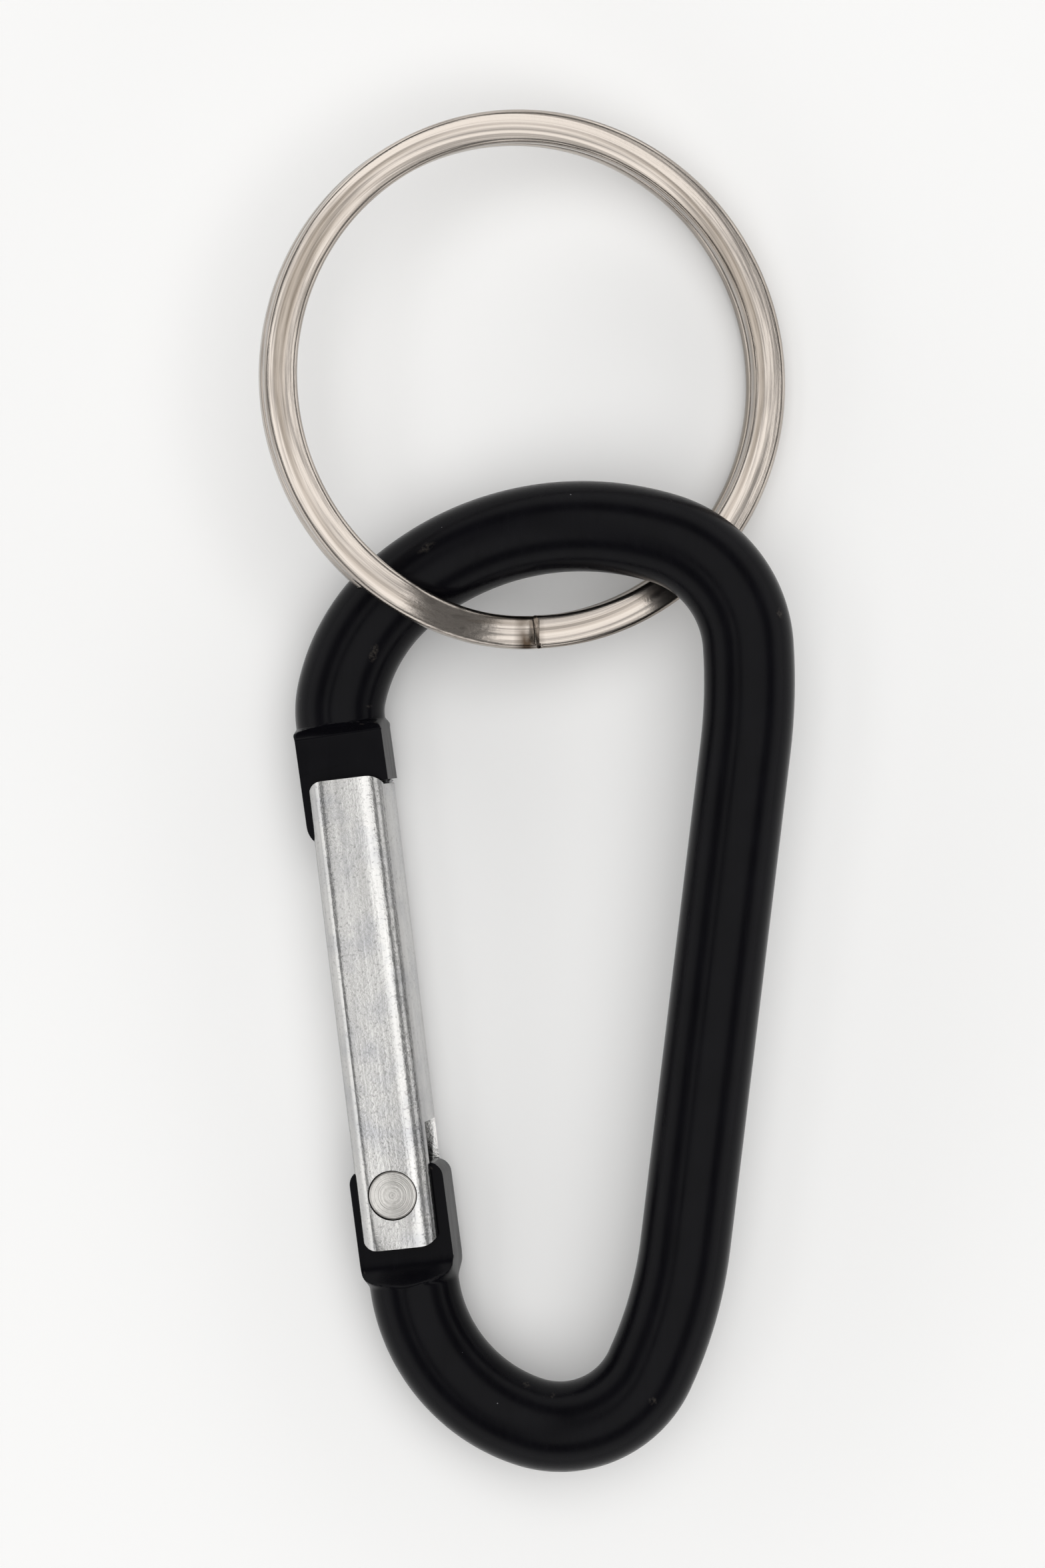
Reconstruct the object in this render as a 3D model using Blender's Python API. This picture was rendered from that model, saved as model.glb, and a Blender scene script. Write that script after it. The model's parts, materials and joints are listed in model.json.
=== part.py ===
"""Carabiner keyring: a bent rod body, a sheet metal gate on a rivet with its wire spring, and a split ring.

The set lies flat: +Z up, +Y from the gate's hinge towards the ring, +X from the gate towards the spine.
The body is drawn in its own plane, about the middle of the eye, and is then leaned onto the ring.
"""

import math

import bmesh
import bpy
from mathutils import Matrix, Vector

MM = 0.001

# Body rod
ROD_RADIUS = 2.72 * MM
ROD_SIDES = 32
SPINE_START = Vector((11.83, -13.15)) * MM
SPINE_HEADING = 83.0
SPINE_UPPER_LENGTH = 15.5 * MM
SPINE_LOWER_LENGTH = 14.6 * MM
# Each bend is a radius and a turn in degrees, from the spine round to that end's tongue.
BOW_BENDS = ((32.6 * MM, 10.8), (7.2 * MM, 68.9), (17.3 * MM, 55.5), (11.1 * MM, 39.5), (5.0 * MM, 20.3))
FOOT_BENDS = ((25.5 * MM, -17.9), (6.2 * MM, -81.9), (10.0 * MM, -65.7))
BEND_STEP = 5.0
STRAIGHT_STEP = 2.5 * MM

# Tongues pressed from the rod's two ends
TONGUE_THICKNESS = 2.8 * MM
TONGUE_SQUARENESS = 7.0
SHOULDER_STEPS = 6
TIP_STEPS = 4
TIP_TURN = 80.0
NOSE_LENGTH = 7.4 * MM
NOSE_WIDTH = 5.4 * MM
NOSE_SHOULDER = 0.8 * MM
NOSE_CORNER = 1.4 * MM
HINGE_WIDTH = 5.8 * MM
HINGE_LENGTH = 7.3 * MM
HINGE_SHOULDER = 1.7 * MM
HINGE_CORNER = 0.9 * MM
HINGE_PAST_PIVOT = 1.65 * MM
PIVOT_ASIDE = 0.12 * MM

# Gate: one folded sheet, drawn along its own length from the rivet to its seat on the nose tongue
GATE_SEAT = 3.4 * MM
GATE_ASIDE = -0.11 * MM
GATE_WIDTH = 4.86 * MM
GATE_SHEET = 0.8 * MM
GATE_FOLD_RADIUS = 1.3 * MM
GATE_TAIL = 3.25 * MM
GATE_CORNER = 1.0 * MM
GATE_TRIM = 0.1 * MM
CORNER_STEPS = 5
GATE_FACE_CLEARANCE = 0.22 * MM
WEB_SETBACK = 0.6 * MM
WEB_START = 4.15 * MM
CURL_START = 4.05 * MM
CURL_LIP = 4.9 * MM
CURL_SEAM = 0.5 * MM
NOSE_CLEARANCE = 0.25 * MM

# Rivet
RIVET_RADIUS = 1.1 * MM
RIVET_HEAD_RADIUS = 1.48 * MM
RIVET_RIM_SHARE = 0.82
RIVET_DISH = 0.1 * MM
RIVET_SINK = 0.03 * MM
RIVET_CLEARANCE = 0.08 * MM
RIVET_SIDES = 32

# Gate spring
SPRING_RADIUS = 0.35 * MM
SPRING_SEAT_DEPTH = 0.45 * MM
SPRING_CLEARANCE = 0.12 * MM
SPRING_RISE = 7.0 * MM
SPRING_RUN_OUT = 2.0 * MM
SPRING_STEPS = 8
SPRING_SIDES = 8

# Split ring
RING_OUTER_RADIUS = 16.2 * MM
RING_WIRE_WIDTH = 2.0 * MM
RING_WIRE_THICKNESS = 1.05 * MM
RING_TURN_GAP = 0.1 * MM
RING_EDGE = 0.3 * MM
RING_EDGE_SHARE = 0.3
RING_FRONT_END = -88.0
RING_BACK_END = 592.0
RING_JOGGLE = (236.0, 266.0)
RING_STEP = 5.0

# How the set lies: the body leans about its gate side, and the ring leans on the bow.
LEAN_FOOT = Vector((-11.3, 4.0)) * MM
LEAN_DIRECTION = 8.0
BODY_SPAN = 25.5 * MM
# The ring's gate side lies on the bow, lifted by the rod, and its other side lies under the bow's shoulder.
RING_LIFT = 2.8
RING_SETTLE = 1.1787 * MM
RING_GATE_SIDE = 9.0 * MM
RING_SHOULDER_SIDE = 8.35 * MM
BODY_LIFT = 1.25
BODY_SETTLE = 0.9585 * MM

# The ring swings about the rod, where the bow's shoulder still has this much of its bend to go.
SWING_BEND_LEFT = 10.0
# From there to the middle of the ring's outer edge at its foot.
RING_FOOT = Vector((-9.86, -6.15)) * MM

CUT_MARGIN = 1.0 * MM


def clear_scene():
    for item in list(bpy.data.objects):
        bpy.data.objects.remove(item, do_unlink=True)


def make_material(name, colour, roughness, metallic):
    material = bpy.data.materials.new(name)
    material.use_nodes = True
    shader = material.node_tree.nodes["Principled BSDF"]
    shader.inputs["Base Color"].default_value = (*colour, 1.0)
    shader.inputs["Roughness"].default_value = roughness
    shader.inputs["Metallic"].default_value = metallic
    return material


def add_empty(name, matrix, parent=None):
    empty = bpy.data.objects.new(name, None)
    bpy.context.collection.objects.link(empty)
    empty.parent = parent
    empty.matrix_local = matrix
    return empty


def add_object(name, shape, material=None, parent=None):
    """Make an object from a bmesh, with round faces smooth and its normals outwards."""
    bmesh.ops.recalc_face_normals(shape, faces=shape.faces)
    mesh = bpy.data.meshes.new(name)
    shape.to_mesh(mesh)
    shape.free()
    mesh.shade_smooth()
    mesh.set_sharp_from_angle(angle=math.radians(40))
    item = bpy.data.objects.new(name, mesh)
    bpy.context.collection.objects.link(item)
    item.parent = parent
    if material:
        mesh.materials.append(material)
    return item


def cut(target, cutter, operation="DIFFERENCE"):
    cutter.hide_render = True
    cutter.display_type = "WIRE"
    modifier = target.modifiers.new(cutter.name, "BOOLEAN")
    modifier.operation = operation
    modifier.solver = "EXACT"
    modifier.object = cutter


def loft(rings):
    """Skin a list of equal loops of points, with a flat cap at each end."""
    shape = bmesh.new()
    loops = [[shape.verts.new(point) for point in ring] for ring in rings]
    for first, second in zip(loops, loops[1:]):
        for k in range(len(first)):
            n = (k + 1) % len(first)
            shape.faces.new((first[k], first[n], second[n], second[k]))
    shape.faces.new(list(reversed(loops[0])))
    shape.faces.new(loops[-1])
    return shape


def box_shape(low, high):
    shape = bmesh.new()
    size = Vector(high) - Vector(low)
    centre = (Vector(high) + Vector(low)) / 2
    bmesh.ops.create_cube(shape, size=1.0)
    bmesh.ops.scale(shape, vec=size, verts=shape.verts)
    bmesh.ops.translate(shape, vec=centre, verts=shape.verts)
    return shape


def turned_shape(profile, sides):
    """Turn a list of (radius, height) points about Z, the first and last on the axis."""
    shape = bmesh.new()
    rows = []
    for radius, height in profile:
        if radius == 0:
            rows.append([shape.verts.new((0, 0, height))])
            continue
        angles = [2 * math.pi * (k + 0.5) / sides for k in range(sides)]
        rows.append([shape.verts.new((radius * math.cos(a), radius * math.sin(a), height)) for a in angles])
    for lower, upper in zip(rows, rows[1:]):
        for k in range(sides):
            n = (k + 1) % sides
            below = (lower[k % len(lower)], lower[n % len(lower)])
            above = (upper[n % len(upper)], upper[k % len(upper)])
            corners = [*below, *above]
            shape.faces.new(list(dict.fromkeys(corners)))
    return shape


# ---- The body's path


def walk(start, heading, legs):
    """Follow straight legs and bends. Returns (point, heading in radians) stations."""
    point = start.copy()
    angle = math.radians(heading)
    stations = [(point.copy(), angle)]
    for leg in legs:
        if len(leg) == 1:
            count = math.ceil(leg[0] / STRAIGHT_STEP)
            step, chord = 0.0, leg[0] / count
        else:
            radius, turn = leg
            count = math.ceil(abs(turn) / BEND_STEP)
            step = math.radians(turn) / count
            chord = 2 * radius * math.sin(abs(step) / 2)
        for _ in range(count):
            middle = angle + step / 2
            point = point + Vector((math.cos(middle), math.sin(middle))) * chord
            angle += step
            stations.append((point.copy(), angle))
    return stations


def directions(angle):
    """Unit vectors along a heading and to its right."""
    return Vector((math.cos(angle), math.sin(angle))), Vector((math.sin(angle), -math.cos(angle)))


def bow_stations():
    return walk(SPINE_START, SPINE_HEADING, ((SPINE_UPPER_LENGTH,), *BOW_BENDS))


def foot_stations():
    return walk(SPINE_START, SPINE_HEADING + 180, ((SPINE_LOWER_LENGTH,), *FOOT_BENDS))


def pivot_point():
    """The rivet's place in the body's plane, a little outside the hinge tongue's middle line."""
    point, angle = foot_stations()[-1]
    ahead, side = directions(angle)
    return point + ahead * (HINGE_LENGTH - HINGE_PAST_PIVOT) - side * PIVOT_ASIDE


def gate_span():
    """From the rivet to the middle of the gate's end, which lies on the nose tongue."""
    point, angle = bow_stations()[-1]
    ahead, side = directions(angle)
    return point + ahead * GATE_SEAT + side * GATE_ASIDE - pivot_point()


def gate_reach():
    return gate_span().length


def gate_tilt():
    """The gate's turn from the +Y direction, in radians."""
    span = gate_span()
    return math.atan2(-span.x, span.y)


def curl_end():
    return gate_reach() - CURL_LIP


def swing_matrix():
    """Frame of the ring's swing in the body's plane: +X runs along the rod."""
    spine_bend, (radius, turn) = BOW_BENDS[:2]
    legs = ((SPINE_UPPER_LENGTH,), spine_bend, (radius, turn - SWING_BEND_LEFT))
    point, angle = walk(SPINE_START, SPINE_HEADING, legs)[-1]
    return Matrix.Translation((*point, 0)) @ Matrix.Rotation(angle, 4, "Z")


def rod_section(half_width, half_thickness, squareness):
    """One loop of the rod: a circle, or a flat-faced section no thicker than asked."""
    loop = []
    for k in range(ROD_SIDES):
        angle = 2 * math.pi * (k + 0.5) / ROD_SIDES
        across, up = math.cos(angle), math.sin(angle)
        across = math.copysign(abs(across) ** (2 / squareness), across) * half_width
        up = math.copysign(abs(up) ** (2 / squareness), up) * ROD_RADIUS
        loop.append((across, max(-half_thickness, min(half_thickness, up))))
    return loop


def place_section(station, section):
    point, angle = station
    _, side = directions(angle)
    return [(*(point + side * across), up) for across, up in section]


def tongue_rings(station, length, width, shoulder, corner):
    """The pressed end: a sloping shoulder, a flat stretch, and a rounded tip."""
    point, angle = station
    ahead, _ = directions(angle)
    half_width, half_thickness = width / 2, TONGUE_THICKNESS / 2
    flat = rod_section(half_width, half_thickness, TONGUE_SQUARENESS)
    rings = []
    for k in range(1, SHOULDER_STEPS + 1):
        share = k / SHOULDER_STEPS
        thickness = ROD_RADIUS + (half_thickness - ROD_RADIUS) * math.sin(share * math.pi / 2)
        spread = ROD_RADIUS + (half_width - ROD_RADIUS) * share
        square = 2 + (TONGUE_SQUARENESS - 2) * share
        section = rod_section(spread, thickness, square)
        rings.append(place_section((point + ahead * shoulder * share, angle), section))
    rings.append(place_section((point + ahead * (shoulder + length - corner) / 2, angle), flat))
    for k in range(TIP_STEPS + 1):
        turn = k / TIP_STEPS * math.radians(TIP_TURN)
        inset = corner * (1 - math.cos(turn))
        reach = length - corner + corner * math.sin(turn)
        tip = [(across * (half_width - inset) / half_width, up) for across, up in flat]
        rings.append(place_section((point + ahead * reach, angle), tip))
    return rings


def build_body(frame, material):
    bow, foot = bow_stations(), foot_stations()
    round_section = rod_section(ROD_RADIUS, ROD_RADIUS, 2)
    nose = tongue_rings(bow[-1], NOSE_LENGTH, NOSE_WIDTH, NOSE_SHOULDER, NOSE_CORNER)
    hinge = tongue_rings(foot[-1], HINGE_LENGTH, HINGE_WIDTH, HINGE_SHOULDER, HINGE_CORNER)
    middle = [place_section(station, round_section) for station in bow]
    # The foot was walked the other way, so its loops are mirrored to keep their points in line.
    turned = [place_section(station, mirrored(round_section)) for station in foot[1:]]
    hinge = [mirrored(ring) for ring in hinge]
    rings = list(reversed(hinge)) + list(reversed(turned)) + middle + nose
    body = add_object("carabiner_body", loft(rings), material, frame)

    hole = turned_shape(bar_profile(RIVET_RADIUS + RIVET_CLEARANCE, TONGUE_THICKNESS), RIVET_SIDES)
    pivot = pivot_point()
    bmesh.ops.translate(hole, vec=(*pivot, 0), verts=hole.verts)
    cut(body, add_object("rivet_hole_cutter", hole, None, frame))

    seat_radius = SPRING_RADIUS + SPRING_CLEARANCE
    seat = box_shape(
        (-seat_radius, HINGE_PAST_PIVOT - SPRING_SEAT_DEPTH, -seat_radius),
        (seat_radius, HINGE_PAST_PIVOT + CUT_MARGIN, seat_radius),
    )
    seat_frame = add_empty("spring_seat_frame", hinge_matrix(), frame)
    cut(body, add_object("spring_seat_cutter", seat, None, seat_frame))

    step = box_shape(
        (web_inner() - NOSE_CLEARANCE, curl_end(), -GATE_WIDTH),
        (web_inner() + GATE_WIDTH, gate_reach() - WEB_SETBACK + NOSE_CLEARANCE, GATE_WIDTH),
    )
    step_frame = add_empty("nose_step_frame", gate_matrix(), frame)
    cut(body, add_object("nose_step_cutter", step, None, step_frame))
    return body


def mirrored(loop):
    """The same loop of points, counted the other way round from the same height."""
    count = len(loop)
    return [loop[(count // 2 - 1 - k) % count] for k in range(count)]


def bar_profile(radius, length):
    half = length / 2 + CUT_MARGIN
    return ((0, -half), (radius, -half), (radius, half), (0, half))


# ---- The gate and what it carries


def gate_matrix():
    return Matrix.Translation((*pivot_point(), 0)) @ Matrix.Rotation(gate_tilt(), 4, "Z")


def hinge_matrix():
    """Frame of the hinge tongue: +Y runs from the rivet towards the tongue's tip."""
    _, angle = foot_stations()[-1]
    return Matrix.Translation((*pivot_point(), 0)) @ Matrix.Rotation(angle - math.pi / 2, 4, "Z")


def gate_half_depth():
    return TONGUE_THICKNESS / 2 + GATE_FACE_CLEARANCE + GATE_SHEET


def web_inner():
    return GATE_WIDTH / 2 - GATE_SHEET


def channel_section(half_width, half_depth, radius):
    """A rounded rectangle in (across, up)."""
    points = []
    for quarter, (sx, sz) in enumerate(((1, 1), (-1, 1), (-1, -1), (1, -1))):
        centre = (sx * (half_width - radius), sz * (half_depth - radius))
        for k in range(CORNER_STEPS + 1):
            angle = math.radians(90 * (quarter + k / CORNER_STEPS))
            points.append((centre[0] + radius * math.cos(angle), centre[1] + radius * math.sin(angle)))
    return points


def channel(section, start, end):
    return loft([[(across, along, up) for across, up in section] for along in (start, end)])


def gate_outline():
    """The gate seen from the front: a long plate with rounded corners."""
    half, low, high, radius = GATE_WIDTH / 2 + GATE_TRIM, -GATE_TAIL, gate_reach(), GATE_CORNER
    points = []
    corners = ((half, high), (-half, high), (-half, low), (half, low))
    for quarter, (x, y) in enumerate(corners):
        centre = (x - math.copysign(radius, x), y - math.copysign(radius, y))
        for k in range(CORNER_STEPS + 1):
            angle = math.radians(90 * (quarter + k / CORNER_STEPS))
            points.append((centre[0] + radius * math.cos(angle), centre[1] + radius * math.sin(angle)))
    return points


def build_gate(pivot_frame, material):
    depth, far = gate_half_depth(), gate_reach() + CUT_MARGIN
    outer = channel_section(GATE_WIDTH / 2, depth, GATE_FOLD_RADIUS)
    inner_radius = GATE_FOLD_RADIUS - GATE_SHEET
    inner = channel_section(GATE_WIDTH / 2 - GATE_SHEET, depth - GATE_SHEET, inner_radius)
    gate = add_object("gate", channel(outer, -GATE_TAIL, gate_reach()), material, pivot_frame)
    hollow = add_object("gate_hollow_cutter", channel(inner, -GATE_TAIL - CUT_MARGIN, far), None, pivot_frame)
    cut(gate, hollow)

    outline = gate_outline()
    plate = loft([[(x, y, z) for x, y in outline] for z in (-GATE_WIDTH, GATE_WIDTH)])
    cut(gate, add_object("gate_outline_cutter", plate, None, pivot_frame), "INTERSECT")

    inside_depth = depth - GATE_SHEET
    open_side = inner_radius - web_inner()
    slots = {
        "gate_nose_slot_cutter": ((-GATE_WIDTH, curl_end(), -inside_depth), (open_side, far, inside_depth)),
        "gate_hinge_slot_cutter": ((-GATE_WIDTH, -far, -inside_depth), (open_side, CURL_START, inside_depth)),
        "gate_seam_cutter": ((-GATE_WIDTH, -far, -CURL_SEAM / 2), (open_side, far, CURL_SEAM / 2)),
        "gate_web_slot_cutter": ((-open_side, -far, -inside_depth), (GATE_WIDTH, WEB_START, inside_depth)),
        "gate_web_end_cutter": (
            (-open_side, gate_reach() - WEB_SETBACK, -inside_depth),
            (GATE_WIDTH, far, inside_depth),
        ),
    }
    for name, (low, high) in slots.items():
        cut(gate, add_object(name, box_shape(low, high), None, pivot_frame))

    hole = turned_shape(bar_profile(RIVET_HEAD_RADIUS + RIVET_CLEARANCE, 2 * depth), RIVET_SIDES)
    cut(gate, add_object("gate_ear_hole_cutter", hole, None, pivot_frame))
    return gate


def build_rivet(pivot_frame, material):
    """A solid rivet: a shank through the tongue and a flush, dished head in each ear."""
    outside = gate_half_depth() - RIVET_SINK
    inside = TONGUE_THICKNESS / 2 + GATE_FACE_CLEARANCE
    rim = RIVET_HEAD_RADIUS * RIVET_RIM_SHARE
    profile = (
        (0, -outside + RIVET_DISH),
        (rim, -outside),
        (RIVET_HEAD_RADIUS, -outside + RIVET_DISH),
        (RIVET_HEAD_RADIUS, -inside),
        (RIVET_RADIUS, -inside),
        (RIVET_RADIUS, inside),
        (RIVET_HEAD_RADIUS, inside),
        (RIVET_HEAD_RADIUS, outside - RIVET_DISH),
        (rim, outside),
        (0, outside - RIVET_DISH),
    )
    return add_object("gate_rivet", turned_shape(profile, RIVET_SIDES), material, pivot_frame)


def build_spring(frame, material):
    """A bent wire from its seat in the hinge tongue to the gate's curled wall."""
    seat_frame = add_empty("spring_frame", hinge_matrix(), frame)
    start = HINGE_PAST_PIVOT - SPRING_SEAT_DEPTH + SPRING_CLEARANCE
    lean = gate_tilt() - (foot_stations()[-1][1] - math.pi / 2)
    side = -web_inner() + SPRING_RADIUS + SPRING_CLEARANCE - math.tan(lean) * SPRING_RISE
    path = []
    for k in range(SPRING_STEPS + 1):
        share = k / SPRING_STEPS
        eased = share * share * (3 - 2 * share)
        path.append((side * eased, start + SPRING_RISE * share))
    path.append((side, start + SPRING_RISE + SPRING_RUN_OUT))
    rings = []
    for x, y in path:
        angles = [2 * math.pi * k / SPRING_SIDES for k in range(SPRING_SIDES)]
        rings.append([(x + SPRING_RADIUS * math.cos(a), y, SPRING_RADIUS * math.sin(a)) for a in angles])
    return add_object("gate_spring", loft(rings), material, seat_frame)


# ---- The split ring


def ring_height(angle):
    """Height of the wire's middle: the front turn, a joggle down, then the back turn."""
    lift = (RING_WIRE_THICKNESS + RING_TURN_GAP) / 2
    start, end = RING_JOGGLE
    share = min(1, max(0, (angle - start) / (end - start)))
    return lift * (1 - 2 * share * share * (3 - 2 * share))


def ring_section():
    """A flattened wire with chamfered edges, as (radius, height) from its middle."""
    half_width, half_height, edge = RING_WIRE_WIDTH / 2, RING_WIRE_THICKNESS / 2, RING_EDGE
    points = []
    for sx, sz in ((1, 1), (-1, 1), (-1, -1), (1, -1)):
        corner = [
            (sx * half_width, sz * (half_height - edge)),
            (sx * (half_width - edge * RING_EDGE_SHARE), sz * (half_height - edge * RING_EDGE_SHARE)),
            (sx * (half_width - edge), sz * half_height),
        ]
        points += corner if sx * sz > 0 else reversed(corner)
    return points


def build_ring(material):
    middle = RING_OUTER_RADIUS - RING_WIRE_WIDTH / 2
    section = ring_section()
    count = round((RING_BACK_END - RING_FRONT_END) / RING_STEP)
    rings = []
    for k in range(count + 1):
        angle = RING_FRONT_END + (RING_BACK_END - RING_FRONT_END) * k / count
        turn, height = math.radians(angle), ring_height(angle)
        rings.append(
            [((middle + r) * math.cos(turn), (middle + r) * math.sin(turn), height + z) for r, z in section]
        )
    ring = add_object("split_ring", loft(rings), material)
    foot = swing_matrix().to_translation().to_2d() + RING_FOOT
    place = Vector((foot.x, foot.y + RING_OUTER_RADIUS, 0))
    ring.matrix_world = Matrix.Translation(place) @ Matrix.Rotation(ring_lean(), 4, "Y")
    return ring


# ---- Putting the set down


def ring_lean():
    lift = RING_LIFT * ROD_RADIUS - RING_SETTLE
    return math.asin(lift / (RING_OUTER_RADIUS + RING_GATE_SIDE))


def body_lean():
    """The spine side rises with the ring's thickness and with its height under the shoulder."""
    thickness = 2 * RING_WIRE_THICKNESS + RING_TURN_GAP
    rise = (RING_OUTER_RADIUS - RING_SHOULDER_SIDE) * math.tan(ring_lean())
    return math.asin((BODY_LIFT * (thickness + rise) - BODY_SETTLE) / BODY_SPAN)


def lean_matrix():
    """Turn the body about its resting edge, so that its spine side rises."""
    direction = math.radians(LEAN_DIRECTION)
    axis = Vector((-math.sin(direction), math.cos(direction), 0))
    foot = Vector((*LEAN_FOOT, 0))
    turn = Matrix.Rotation(-body_lean(), 4, axis)
    return Matrix.Translation(foot) @ turn @ Matrix.Translation(-foot)


def world_points(items):
    graph = bpy.context.evaluated_depsgraph_get()
    points = []
    for item in items:
        evaluated = item.evaluated_get(graph)
        points += [evaluated.matrix_world @ vertex.co for vertex in evaluated.data.vertices]
    return points


def rest_on_ground(root, items):
    """Shift an object or empty so that the lowest point of its items is at height 0."""
    bpy.context.view_layer.update()
    low = min(point.z for point in world_points(items))
    root.matrix_world = Matrix.Translation((0, 0, -low)) @ root.matrix_world


def main():
    clear_scene()
    anodised = make_material("black_anodised_aluminium", (0.012, 0.012, 0.015), 0.25, 0.6)
    sheet = make_material("bare_aluminium_sheet", (0.78, 0.77, 0.76), 0.35, 1.0)
    rivet = make_material("rivet_aluminium", (0.74, 0.72, 0.70), 0.35, 1.0)
    steel = make_material("spring_steel", (0.45, 0.45, 0.46), 0.3, 1.0)
    nickel = make_material("nickel_plated_steel", (0.72, 0.66, 0.60), 0.22, 1.0)

    frame = add_empty("carabiner_frame", lean_matrix())
    body = build_body(frame, anodised)
    pivot = add_empty("gate_pivot", gate_matrix(), frame)
    carried = [build_gate(pivot, sheet), build_rivet(pivot, rivet)]
    build_spring(frame, steel)
    ring = build_ring(nickel)
    rest_on_ground(frame, [body, *carried])
    rest_on_ground(ring, [ring])

    # The origin is the middle of the set's underside.
    bpy.context.view_layer.update()
    points = world_points([body, *carried, ring])
    shift = Matrix.Translation(
        [-(min(p[i] for p in points) + max(p[i] for p in points)) / 2 for i in (0, 1)] + [0]
    )
    for item in (frame, ring):
        item.matrix_world = shift @ item.matrix_world
    swing = add_empty("ring_swing_pivot", swing_matrix(), frame)
    bpy.context.view_layer.update()
    ring.parent = swing
    ring.matrix_parent_inverse = swing.matrix_world.inverted()


main()
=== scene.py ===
"""Carabiner keyring: a black rod body, a bare sheet gate with its rivet and spring, and a split ring."""

import json
import math

import bmesh
import bpy
from mathutils import Matrix, Vector


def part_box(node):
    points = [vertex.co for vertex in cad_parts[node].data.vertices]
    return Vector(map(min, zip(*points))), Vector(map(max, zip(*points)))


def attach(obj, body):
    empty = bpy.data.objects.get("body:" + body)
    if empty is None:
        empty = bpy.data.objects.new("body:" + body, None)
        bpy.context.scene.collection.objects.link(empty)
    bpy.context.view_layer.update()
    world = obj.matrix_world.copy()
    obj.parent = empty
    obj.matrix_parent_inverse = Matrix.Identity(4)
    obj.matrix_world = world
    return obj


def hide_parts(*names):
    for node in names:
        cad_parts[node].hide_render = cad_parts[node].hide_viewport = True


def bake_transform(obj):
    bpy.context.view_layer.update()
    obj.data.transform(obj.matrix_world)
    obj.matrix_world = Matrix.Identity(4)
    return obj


bl_info = {
    "name": "Carabiner Keyring",
    "version": (1, 0, 0),
    "blender": (4, 5, 0),
    "location": "View3D > Sidebar > Keyring",
    "description": "Makes a finished carabiner keyring around its fixed frame",
    "category": "Add Mesh",
}

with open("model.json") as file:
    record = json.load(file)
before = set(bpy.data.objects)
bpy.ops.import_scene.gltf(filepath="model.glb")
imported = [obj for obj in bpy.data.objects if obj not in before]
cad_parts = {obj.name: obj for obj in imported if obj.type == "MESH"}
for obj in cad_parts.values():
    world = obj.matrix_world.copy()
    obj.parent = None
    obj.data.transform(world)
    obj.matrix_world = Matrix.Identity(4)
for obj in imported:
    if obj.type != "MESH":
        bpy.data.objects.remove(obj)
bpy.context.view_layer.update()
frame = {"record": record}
JOINTS = {joint["name"]: joint for joint in frame["record"]["behaviour"]["joints"]}
HINGE_PLACE = Vector(JOINTS["gate_hinge"]["pos_m"])

MM = 0.001

# The body's path, in its own plane: bends are a radius and a turn in degrees.
SPINE_START = Vector((11.83, -13.15)) * MM
SPINE_HEADING = 83.0
SPINE_UPPER_LENGTH = 15.5 * MM
SPINE_LOWER_LENGTH = 14.6 * MM
BOW_BENDS = ((32.6 * MM, 10.8), (7.2 * MM, 68.9), (17.3 * MM, 55.5), (11.1 * MM, 39.5), (5.0 * MM, 20.3))
FOOT_BENDS = ((25.5 * MM, -17.9), (6.2 * MM, -81.9), (10.0 * MM, -65.7))
BEND_STEP = 1.5
STRAIGHT_STEP = 1.0 * MM

# The tongues
NOSE_LENGTH = 7.4 * MM
NOSE_CORNER = 1.4 * MM
HINGE_LENGTH = 7.3 * MM
HINGE_CORNER = 0.9 * MM
HINGE_PAST_PIVOT = 1.65 * MM
PIVOT_ASIDE = 0.12 * MM
SHOULDER_STEPS = 20
TIP_STEPS = 10

# The gate
GATE_SEAT = 3.4 * MM
GATE_ASIDE = -0.11 * MM
GATE_TAIL = 3.25 * MM
GATE_DEPTH = 4.84 * MM
WEB_START = 4.15 * MM
WEB_SETBACK = 0.6 * MM
CURL_START = 4.05 * MM
CURL_LIP = 4.9 * MM
RIVET_SHANK = 1.1 * MM
TONGUE_THICKNESS = 2.8 * MM
FACE_CLEARANCE = 0.22 * MM

# How the body leans and where the ring lies
LEAN_FOOT = Vector((-11.3, 4.0)) * MM
LEAN_DIRECTION = 8.0
BODY_LEAN = 9.9
RING_LEAN = 14.8
RING_PLACE = Vector((0.148, 24.339)) * MM

# The camera looks straight down on the eye's middle.
CAMERA_HEIGHT = 290 * MM
FOCUS_HEIGHT = 3.5 * MM
PICTURE_SIZE = (1568, 2352)
POINTS_PER_METRE = 24750
SENSOR_HEIGHT = 36.0


# ---- Settings that a user would change


def length_setting(name, description, default):
    return bpy.props.FloatProperty(
        name=name, description=description, default=default, unit="LENGTH", precision=5, min=0.0
    )


def count_setting(name, description, default):
    return bpy.props.IntProperty(
        name=name, description=description, default=default, subtype="UNSIGNED", min=16
    )


def share_setting(name, description, default):
    return bpy.props.FloatProperty(
        name=name, description=description, default=default, subtype="FACTOR", min=0.0, max=4.0
    )


def colour_setting(name, description, default):
    return bpy.props.FloatVectorProperty(
        name=name, description=description, default=default, subtype="COLOR", size=3, min=0.0, max=1.0
    )


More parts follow.
